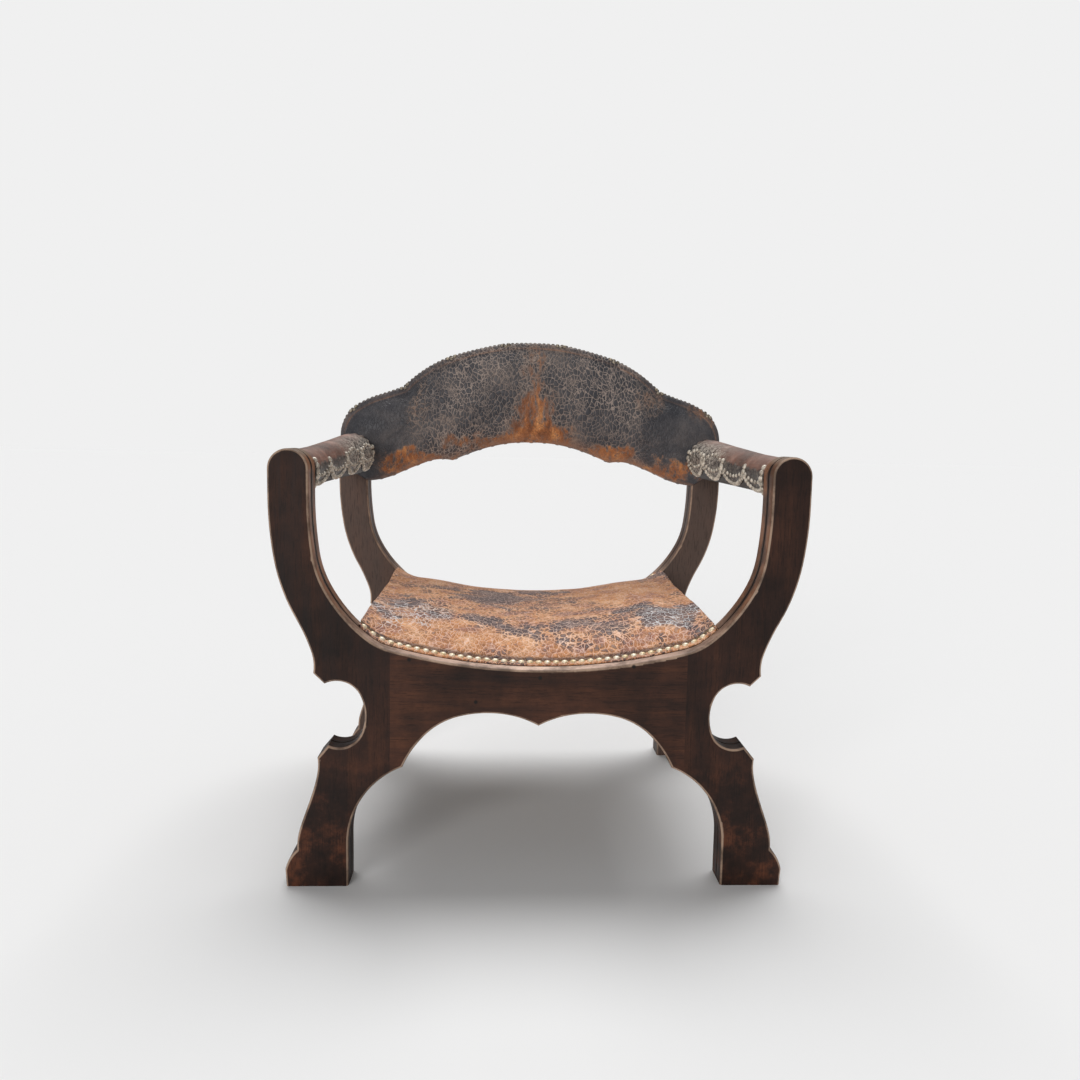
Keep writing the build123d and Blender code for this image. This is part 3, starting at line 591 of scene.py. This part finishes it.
# Painted shade in the fold where the leather meets the rails
from_middle = combine(tree, "ABSOLUTE", split.outputs["Y"])
past_bay = remap(tree, from_middle, 0.2285, 0.233)
fold_shade = times(tree, past_bay, remap(tree, from_middle, 0.239, 0.2355), 0.75)
tone = mix(tree, fold_shade, tone, linear("#3c2822"))
roughness = remap(tree, stains, 0.3, 0.7, 0.4, 0.62)
surface(tree, shader, tone, remap(tree, edge, 0.0, 0.3), 0.8, 0.0014, roughness)
seat_cover.data.materials.append(seat_hide)
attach(seat_cover, "root")
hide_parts("seat_leather", "seat_padding")

# ------------------------------------------------------------------ seat nails
# Dome-headed brass nails, 9 mm across and about 12 mm apart along both rail tops, and 7 mm across
# and 24 mm apart along the lower edge of the leather on the side rails.


def nail_heads(name, centres, directions, size, finish, *replaced):
    """Domes of a few rings each, one at every centre, standing along its direction.

    The size is their radius and height in mm. Each starts a little below its centre, sunk in
    what it holds.
    """
    radius, height = size
    rings, sides = 4, 12
    turns = np.arange(sides) * math.tau / sides
    ring = np.stack([np.cos(turns), np.sin(turns)], -1)
    foot = -height * 0.25
    tilts = np.linspace(0, math.pi / 2, rings + 1)[:-1]
    layers = [(0.96, foot)] + [(math.cos(tilt), height * math.sin(tilt)) for tilt in tilts]
    dome = [np.concatenate([ring * radius * share, np.full((sides, 1), z)], 1) for share, z in layers]
    dome = np.concatenate([*dome, [(0, 0, height), (0, 0, foot)]])
    last, tip = rings * sides, len(layers) * sides
    faces = grid_faces(len(layers), sides, wrap=True)
    faces += [(last + i, last + (i + 1) % sides, tip) for i in range(sides)]
    faces += [((i + 1) % sides, i, tip + 1) for i in range(sides)]
    points, all_faces = [], []
    for index, (centre, direction) in enumerate(zip(centres, directions)):
        aim = Vector(direction).normalized().to_track_quat("Z", "Y").to_matrix()
        points.append(dome @ np.array(aim).T + np.asarray(centre))
        all_faces += [tuple(v + index * len(dome) for v in face) for face in faces]
    made = mesh_object(name, np.concatenate(points) / 1000, all_faces)
    made.data.materials.append(finish)
    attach(made, "root")
    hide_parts(*replaced)


def nail_metal(name, dark, bright, roughness, metallic):
    """Tarnished metal of nail heads, darker in patches."""
    made, tree, shader = material(name, roughness=roughness, Metallic=metallic)
    tarnish = noise(tree, object_place(tree), 140, 5, 0.7)
    tree.links.new(ramp(tree, tarnish, (0.36, dark), (0.62, bright)), shader.inputs["Base Color"])
    return made


brass = nail_metal("polished brass", "#dcc08c", "#fff6e2", 0.34, 0.2)
# Rows on the rail tops and on the side rails: number of nails, half the row's length, and height
# above or depth below the rail tops, in mm; then the side rows' distance from the middle
rail_nail_count, rail_nail_end, rail_nail_lift = 41, 232.5, 3.0
side_nail_count, side_nail_end, side_nail_drop = 19, 218, 25
side_nail_x = 240.8
rail_nail_size, side_nail_size = (4.6, 3.0), (3.5, 2.2)


def rail_nails(name, y, replaced):
    """Row of nails along one rail top."""
    x = np.linspace(-rail_nail_end, rail_nail_end, rail_nail_count)
    slope = (seat_line(x + 1) - seat_line(x - 1)) / 2
    centres = np.stack([x, np.full_like(x, y), seat_line(x) + rail_nail_lift], -1)
    directions = np.stack([-slope, np.zeros_like(x), np.ones_like(x)], -1)
    nail_heads(name, centres, directions, rail_nail_size, brass, replaced)


rail_nails("seat_front_nail_heads", -244, "seat_front_nails")
rail_nails("seat_rear_nail_heads", 244, "seat_rear_nails")
side_y = np.linspace(-side_nail_end, side_nail_end, side_nail_count)
side_z = float(seat_line(half_span)) - side_nail_drop
side_centres = [(side * side_nail_x, y, side_z) for side in (-1, 1) for y in side_y]
side_directions = [(side, 0, 0) for side in (-1, 1) for _ in side_y]
nail_heads(
    "seat_side_nail_heads", side_centres, side_directions, side_nail_size, brass, "seat_side_nails"
)

# ------------------------------------------------------------------ back leather
# A dark hide over an arched pad on the back board. It wraps the board's edge, where it is nailed
# in scallops along the crest, and it is worn brown in the middle and along its lower edge.


def line_normals(line):
    """Unit normals to the left of a line drawn in X and Z."""
    along = np.gradient(line, axis=0)
    along /= np.linalg.norm(along, axis=1)[:, None]
    return np.stack([-along[:, 1], along[:, 0]], -1)


def travelled(points):
    """Distance travelled along a line at each of its points."""
    return np.concatenate([[0], np.cumsum(np.linalg.norm(np.diff(points, axis=0), axis=1))])


def line_at(distances, length, points):
    """Places on a line at the given distances along it."""
    return np.stack([np.interp(distances, length, points[:, k]) for k in (0, 1)], -1)


def even_line(points, count):
    """The same line at evenly spaced points."""
    length = travelled(points)
    return line_at(np.linspace(0, length[-1], count), length, points)


def mirrored(half):
    """Whole line from its right half, from left to right."""
    return np.vstack([half[::-1] * [-1, 1], half[1:]])


def at_depth(line, depth):
    """Points in space of a line drawn in X and Z, at one depth or at one for each point."""
    return np.stack([line[:, 0], np.broadcast_to(depth, len(line)), line[:, 1]], -1)


# Outline of the board in mm, its right half from the middle outwards, grown by the leather
growth = 2.3
notch_x = 231.9
board_end = np.stack([np.full(12, 345.0), np.linspace(594, 548, 12)], -1)
crest = arc_line((1, 0), [(0, 767.5), (88.2, 757.7), (158.5, 735.9), (231, 685)])
lobe = arc_line((0.944, -0.33), [(231, 685), (278.7, 669.1), (318.1, 649.6), (345, 598.2)])
lobe = np.vstack([lobe, board_end])
crest = crest + growth * line_normals(crest)
lobe = lobe + growth * line_normals(lobe)
top_half = np.vstack([crest[crest[:, 0] < notch_x], lobe[lobe[:, 0] > notch_x]])
tail = arc_line((-1, 0.045), [(297.8, 519), (246.4, 531.8), (191.5, 554.9), (144, 558.5)])[::-1]
arch = arc_line((-0.906, 0.423), [(144, 558.5), (97.6, 577.4), (49.5, 589.8), (0, 593)])[::-1]
bottom_half = np.vstack([arch - growth * line_normals(arch), tail - growth * line_normals(tail)])
half_count = 131
top_line = mirrored(even_line(top_half, half_count))
bottom_line = mirrored(even_line(bottom_half, half_count))
downwards = bottom_line - top_line
span = np.linalg.norm(downwards, axis=1)[:, None]
toward = downwards / span

# Rows over the board's edges: depth, inset from the outline, and how pale they are painted: wear,
# and at the nailed rim a painted highlight on the fold as well. The upper ones run from the rear to
# the nailed rim in front, the lower ones back to the rear.
rim = 10.0
upper_rows = (
    (253, 0, 0),
    (246, 0.1, 0),
    (240, 0.1, 0),
    (235, 0.0, 0.1),
    (232, 0.5, 0.3),
    (230, 1.6, 0.2),
    (228.9, 3.5, 0.1),
    (228.0, 5.0, 0.1),
    (227.0, rim - 1.6, 0.3),
    (226.6, rim - 0.4, 1.0),
)
lower_rows = (
    (230, 1.6, 1.0),
    (232, 0.5, 0.9),
    (235, 0.0, 0.5),
    (240, 0.1, 0.2),
    (246, 0.1, 0),
    (253, 0, 0),
)
# Pad between them: distances from the outline at which it starts and stops, depth of its edge,
# how far it bulges to the front, and its unevenness; it tapers at the ends
pad_start, pad_stop = rim + 2, 3.5
pad_edge_depth, pad_bulge = 228, 21.2
back_lump_sizes, back_lump_heights = (120, 42), (1.2, 0.4)
shares = np.linspace(0, 1, 45)
body = (1 - np.abs(2 * shares - 1) ** 2.6) ** 0.85
from_end = 1 - np.abs(np.linspace(-1, 1, len(top_line)))
end_taper = np.clip(from_end / 0.17, 0, 1) ** 0.6

back_rows = [at_depth(top_line + toward * inset, depth) for depth, inset, _ in upper_rows]
for share, bulge in zip(shares, body):
    travel = (pad_start + share * (span - pad_start - pad_stop)) / span
    depth = pad_edge_depth - pad_bulge * bulge * end_taper
    back_rows.append(at_depth(top_line + downwards * travel, depth))
back_rows += [at_depth(bottom_line - toward * inset, depth) for depth, inset, _ in lower_rows]
back_points = np.stack(back_rows)
wear_and_highlight_rows = [wear for *_, wear in upper_rows]
wear_and_highlight_rows += [max(0.0, 1 - (1 - share) / 0.12) ** 1.5 for share in shares]
wear_and_highlight_rows += [wear for *_, wear in lower_rows]

front = back_points[..., [0, 2]]
swell = np.concatenate([np.zeros(len(upper_rows)), body, np.zeros(len(lower_rows))])[:, None]
back_points[..., 1] += smooth_noise(front, back_lump_sizes[0], 11) * back_lump_heights[0] * swell
back_points[..., 1] += smooth_noise(front, back_lump_sizes[1], 12) * back_lump_heights[1] * swell
back_cover = mesh_object(
    "back_leather_cover",
    back_points.reshape(-1, 3) / 1000,
    [face[::-1] for face in grid_faces(*back_points.shape[:2])],
)
# Paleness at each point: wear, with a painted highlight along the fold at the nailed rim
paint(back_cover, "wear", np.repeat(wear_and_highlight_rows, back_points.shape[1]))
closed_shell(back_cover, hide_thickness)

# Metres: places where the back is rubbed, in X and Z
back_wear = (
    (0.0, 0.69, 0.026, 0.12, 0.45),
    (0.006, 0.64, 0.055, 0.065, 0.7),
    (0.008, 0.602, 0.08, 0.04, 1.2),
    (-0.205, 0.55, 0.11, 0.032, 1.1),
    (0.138, 0.568, 0.055, 0.03, 1.1),
    (0.235, 0.54, 0.11, 0.024, 1.0),
    (0.315, 0.655, 0.045, 0.04, 0.6),
    (0.215, 0.668, 0.045, 0.035, 0.4),
    (-0.205, 0.655, 0.02, 0.05, 0.35),
    (-0.31, 0.575, 0.03, 0.04, 0.6),
    (-0.1, 0.59, 0.09, 0.02, 0.7),
)

back_hide, tree, shader = material("dark grained back leather", Specular_IOR_Level=0.35)
place = object_place(tree)
patchy = node(tree, "SeparateXYZ", links={0: warped(tree, place, 34, 0.035)})
from_middle = combine(tree, "ABSOLUTE", patchy.outputs["X"])
smooth_end = remap(tree, from_middle, 0.17, 0.3, 0.0, 0.15)
edge = combine(tree, "ADD", pebbled(tree, place, 0.0075, (1.25, 1, 0.7)), smooth_end)
crease = remap(tree, edge, 0.08, 0.0)
clouds = noise(tree, place, 12, 6, 0.62, 0.5)
streaky = stretched(tree, place, (1, 1, 0.3))
streaks = remap(tree, noise(tree, streaky, 130, 5, 0.7), 0.28, 0.7, 0.25, 1.15)
wear = with_spots(tree, remap(tree, clouds, 0.45, 0.7, 0.0, 0.2), patchy, "Z", back_wear)
wear = combine(tree, "MINIMUM", times(tree, wear, streaks), 1.0)
orange_clouds = noise(tree, streaky, 60, 5, 0.6)
orange = ramp(tree, orange_clouds, (0.34, "#74472e"), (0.52, "#a8693d"), (0.68, "#d6955c"))
rubbed_tone = mix(tree, remap(tree, wear, 0.15, 1.0), linear("#77685f"), orange)
coat_tone = ramp(tree, clouds, (0.36, "#37373c"), (0.5, "#4a484b"), (0.66, "#66605f"))
tone = cracked_hide(tree, edge, wear, rubbed_tone, coat_tone)
tone = speckled(tree, place, tone, 0.84, 1.1)
veined = remap(tree, noise(tree, place, 9, 3), 0.38, 0.6, 0.15, 0.65)
crease_tone = mix(tree, remap(tree, wear, 0.2, 0.6), linear("#b3a297"), linear("#4a2f22"))
tone = mix(tree, times(tree, crease, veined), tone, crease_tone)
# Paler along the lower edge where worn, and along the fold at the nailed rim as a painted highlight
# with wear
worn_edge_and_highlight = node(tree, "Attribute", attribute_name="wear").outputs["Fac"]
worn_edge_and_highlight = times(tree, worn_edge_and_highlight, remap(tree, clouds, 0.38, 0.6, 0.15, 0.7))
tone = mix(tree, worn_edge_and_highlight, tone, linear("#9b7258"))
roughness = remap(tree, clouds, 0.3, 0.7, 0.4, 0.6)
surface(tree, shader, tone, remap(tree, edge, 0.0, 0.3), 0.7, 0.0012, roughness)
back_cover.data.materials.append(back_hide)
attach(back_cover, "root")
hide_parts("back_front_leather", "back_padding")
finish_nodes(back_hide, "back_outer_leather")

# ------------------------------------------------------------------ back nails
# Small dark nails in scallops over the crest's edge, coming forward at each notch to a group of
# three brighter nails in front, and a row along the underside of the board.

aged = nail_metal("blackened brass", "#2a2521", "#84776a", 0.45, 0.5)
dull = nail_metal("dulled brass", "#4a433b", "#b3a692", 0.45, 0.4)
pewter = nail_metal("greyed brass", "#83786a", "#e9dfcf", 0.4, 0.15)
# Millimetres along the crest: width of a scallop, spacing of the nails, how far they go to either
# side, and how far back they swing within a scallop; then offsets of the three nails at a notch
scallop_width, crest_nail_spacing, crest_nail_reach, crest_swing = 101.0, 8.2, 398, 14
notch_offsets, notch_insets = (-6.5, 0.0, 6.5), (1.2, 3.6, 1.2)
crest_nail_size, lower_nail_size = (3.3, 2.4), (3.5, 1.0)

crest_line = mirrored(even_line(top_half, 400))
crest_length = travelled(crest_line)
crest_length -= crest_length[-1] / 2
along = np.arange(-crest_nail_reach, crest_nail_reach + 1, crest_nail_spacing)
crest_at = line_at(along, crest_length, crest_line)
crest_out = line_normals(crest_at)
wave = np.abs(np.cos(math.pi * along / scallop_width)) ** 0.7
centres = at_depth(crest_at + crest_out * 0.3, 234.5 + wave * crest_swing)
directions = at_depth(crest_out, -0.25)
nail_heads("back_crest_nail_heads", centres, directions, crest_nail_size, aged, "back_crest_nails")

notches = np.arange(-3.5, 4)
notch = (notches[:, None] * scallop_width + np.array(notch_offsets)).ravel()
notch_inset = np.tile(notch_insets, len(notches))[:, None]
notch_out = line_at(notch, along, crest_out)
notch_at = line_at(notch, crest_length, crest_line) - notch_out * notch_inset
centres = at_depth(notch_at, 229.4)
directions = at_depth(notch_out * 0.8, -1.0)
nail_heads("back_notch_nail_heads", centres, directions, crest_nail_size, dull)

lower = mirrored(even_line(bottom_half, 14))[1:-1]
centres = at_depth(lower, 246.0)
directions = at_depth(-line_normals(lower), 0.0)
nail_heads("back_lower_nail_heads", centres, directions, lower_nail_size, aged, "back_lower_nails")

# ------------------------------------------------------------------ armrest leather
# Smooth reddish leather over a stuffed roll that swells at the rear. Its lower edge is cut in
# scallops and nailed on the inner side, and the underside and the cover's lower inner side are
# painted near black as shade.

# Ends of the roll's axis in mm, its radii at shares of its length, and the number and depth of the
# pleats at its rear end
roll_front = np.array([323.5, -231.0, 550.5])
roll_rear = np.array([318.0, 231.0, 568.0])
roll_shares = (0, 0.22, 0.39, 0.58, 0.76, 0.86, 0.92, 0.97, 0.99, 1)
roll_radii = (25.5, 25.6, 27.5, 29.8, 32.6, 33.8, 34, 31.5, 27, 20)
pleats, pleat_depth = 17, 1.3


def roll_surface(side, y, turn_angle, lift=0.0):
    """Points on the armrest roll: turn_angle 0 faces the sitter, positive turns downwards.

    The lower inner quarter is fuller than round, pulled flat by the nailed edge of the leather.
    """
    share = (y - roll_front[1]) / (roll_rear[1] - roll_front[1])
    x = roll_front[0] + share * (roll_rear[0] - roll_front[0])
    z = roll_front[2] + share * (roll_rear[2] - roll_front[2])
    gathered = np.clip((share - 0.84) / 0.12, 0, 1) * np.clip((1 - share) / 0.03, 0, 1)
    radius = np.interp(share, roll_shares, roll_radii) + lift
    radius = radius + pleat_depth * gathered * (np.cos(pleats * turn_angle) - 1)
    inward, downward = np.cos(turn_angle), np.sin(turn_angle)
    inward = np.where((inward > 0) & (downward > 0), np.abs(inward) ** 0.5, inward)
    return np.stack([side * (x - radius * inward), y + 0 * radius, z - radius * downward], -1)


arm_hide, tree, shader = material("reddish arm leather, painted shade below")
place = object_place(tree)
low = node(tree, "Attribute", attribute_name="low").outputs["Fac"]
ragged = combine(tree, "ADD", low, combine(tree, "SUBTRACT", noise(tree, place, 60, 5, 0.7), 0.5))
# Painted shade: below an angle stored on its points, the cover's lower inner side turns near black,
# mottled with pale flecks
underside_shade = remap(tree, ragged, 0.35, 0.65)
crease = remap(tree, pebbled(tree, place, 0.0045), 0.1, 0.0)
clouds = noise(tree, place, 20, 6, 0.65)
upper_tone = ramp(tree, clouds, (0.34, "#55392f"), (0.52, "#7d5648"), (0.68, "#a67e6e"))
underside_mottle = noise(tree, place, 130, 5, 0.75)
underside_shade_tone = ramp(tree, underside_mottle, (0.38, "#171311"), (0.54, "#3a322e"), (0.66, "#a79b8e"))
tone = mix(tree, underside_shade, upper_tone, underside_shade_tone)
tone = mix(tree, times(tree, crease, 0.35), tone, linear("#a89a8e"))
gathered = node(tree, "Attribute", attribute_name="gathered").outputs["Fac"]
tone = mix(tree, times(tree, gathered, 0.75), tone, linear("#3f3631"))
flecks = remap(tree, noise(tree, place, 170, 2, 0.5, 1.5), 0.47, 0.57, 0.0, 0.9)
tone = mix(tree, times(tree, gathered, flecks), tone, linear("#cfc3b5"))
height = combine(tree, "SUBTRACT", 1.0, times(tree, crease, underside_shade))
roughness = remap(tree, clouds, 0.3, 0.7, 0.36, 0.56)
surface(tree, shader, tone, height, 0.7, 0.0012, roughness)

# Painted shade: the underside roll is near black, as the shade under the arm
underside_shade_hide, tree, shader = material("arm leather painted dark as underside shade", roughness=0.6)
place = object_place(tree)
tone = ramp(tree, noise(tree, place, 40, 6, 0.7), (0.35, "#1c1716"), (0.7, "#3e3631"))
surface(tree, shader, tone, pebbled(tree, place, 0.005), 0.6, 0.001)

# Depths of the scallops' notches in mm, angles in degrees of the notches and from there down to
# the lowest point between them, and angle of the edge on the outer side
scallop_edges = np.array([-139.0, -24.0, 94.0, 202.0])
notch_angle, scallop_drop = 8, 42
outer_edge = math.radians(120)


def scallop_angle(y, fullness=1.0):
    """Angle of the scalloped edge at a depth, or of loops of another fullness between its notches."""
    phase = (y - scallop_edges[0]) / np.diff(scallop_edges).mean()
    return np.radians(notch_angle + scallop_drop * fullness * np.abs(np.sin(math.pi * phase)) ** 0.9)


# Millimetres: nail heads and cover above the roll, spacing of the nails along the edge, loops and
# bows, and the depth of the column of bright nails at the front
nail_lift = 1.7
cover_lift, cover_thickness = 1.6, 0.0016
rim_spacing, loop_spacing, bow_spacing = 8.6, 15.5, 17.0
column_y = -224.0
edge_nail_size, garland_nail_size, bright_nail_size = (3.6, 3.3), (3.0, 2.5), (4.3, 3.5)


def on_roll(side, y, degrees):
    """Centres and directions of nail heads on the armrest at the given depths and angles."""
    y, turn_angle = np.asarray(y, dtype=float), np.radians(degrees)
    centres = roll_surface(side, y, turn_angle, nail_lift)
    directions = np.stack([-side * np.cos(turn_angle), 0 * y, -np.sin(turn_angle)], -1)
    return centres, directions


for side, ending in ((-1, "left"), (1, "right")):
    # Closed roll of leather seen below the cover, painted near black as the shade under the arm
    y = np.concatenate([np.linspace(-230.5, 200, 90), np.linspace(203, 228.3, 18)])
    angle = np.linspace(0, math.tau, 72, endpoint=False)
    roll_points = roll_surface(side, *np.meshgrid(y, angle, indexing="ij"))
    faces = grid_faces(len(y), len(angle), wrap=True)
    if side < 0:
        faces = [face[::-1] for face in faces]
    front_middle, rear_middle = roll_points[:1].mean(axis=1), roll_points[-1:].mean(axis=1)
    points = np.concatenate([roll_points.reshape(-1, 3), front_middle, rear_middle])
    count, last = len(y) * len(angle), (len(y) - 1) * len(angle)
    for index in range(len(angle)):
        following = (index + 1) % len(angle)
        faces.append((index, count, following))
        faces.append((last + index, last + following, count + 1))
    roll = mesh_object(f"armrest_underside_{ending}", points / 1000, faces)
    made = bmesh.new()
    made.from_mesh(roll.data)
    bmesh.ops.recalc_face_normals(made, faces=made.faces)
    made.to_mesh(roll.data)
    made.free()
    roll.data.materials.append(underside_shade_hide)
    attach(roll, "root")
    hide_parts(f"armrest_padding_{ending}")

    # Cover from its scalloped edge over the top to its edge on the outer side
    y = np.concatenate([np.linspace(-230.3, 200, 150), np.linspace(203, 229, 16)])
    inner_edge = scallop_angle(y)[:, None]
    cover_shares = np.linspace(0, 1, 140)
    angle_at = inner_edge + (outer_edge - math.tau - inner_edge) * cover_shares
    y_at = np.tile(y[:, None], (1, len(cover_shares)))
    faces = grid_faces(*y_at.shape)
    cover = mesh_object(
        f"armrest_cover_{ending}",
        roll_surface(side, y_at, angle_at, cover_lift).reshape(-1, 3) / 1000,
        faces if side > 0 else [face[::-1] for face in faces],
    )
    # Angle at which the painted shade starts, higher towards the rear
    shade_from = np.interp(y_at, [-230, 0, 150], [-0.3, -0.4, -0.9])
    paint(cover, "low", 0.5 + np.degrees(angle_at - shade_from) / 45)
    paint(cover, "gathered", np.clip((y_at + 60) / 110, 0, 1) * np.clip((angle_at + 1.6) / 0.8, 0, 1))
    closed_shell(cover, cover_thickness)
    cover.data.materials.append(arm_hide)
    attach(cover, "root")
    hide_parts(f"armrest_leather_{ending}")

    # Nails along the scallops, in loops and bows above them, and in pairs at the notches
    rim_y = np.arange(-214, 214, rim_spacing)
    rim_nails = on_roll(side, rim_y, np.degrees(scallop_angle(rim_y)) - 5)
    replaced = f"armrest_nails_{ending}"
    nail_heads(f"armrest_edge_nail_heads_{ending}", *rim_nails, edge_nail_size, pewter, replaced)
    loop_y = np.arange(-212, 208, loop_spacing)
    bow_y = np.arange(-20, 212, bow_spacing)
    loop_angles = np.degrees(scallop_angle(loop_y, 0.5)) - 12
    bow_angles = np.degrees(scallop_angle(bow_y, -0.65)) - 12
    garland_y = np.concatenate([loop_y, bow_y])
    garland = on_roll(side, garland_y, np.concatenate([loop_angles, bow_angles]))
    nail_heads(f"armrest_garland_{ending}", *garland, garland_nail_size, pewter)
    column = np.arange(-30, 66, 16)
    bright_y = np.concatenate([np.repeat(scallop_edges, 2), np.full(len(column), column_y)])
    bright_angles = np.concatenate([np.tile([-4, -20], len(scallop_edges)), column])
    bright_nails = on_roll(side, bright_y, bright_angles)
    nail_heads(f"armrest_bright_nail_heads_{ending}", *bright_nails, bright_nail_size, pewter)
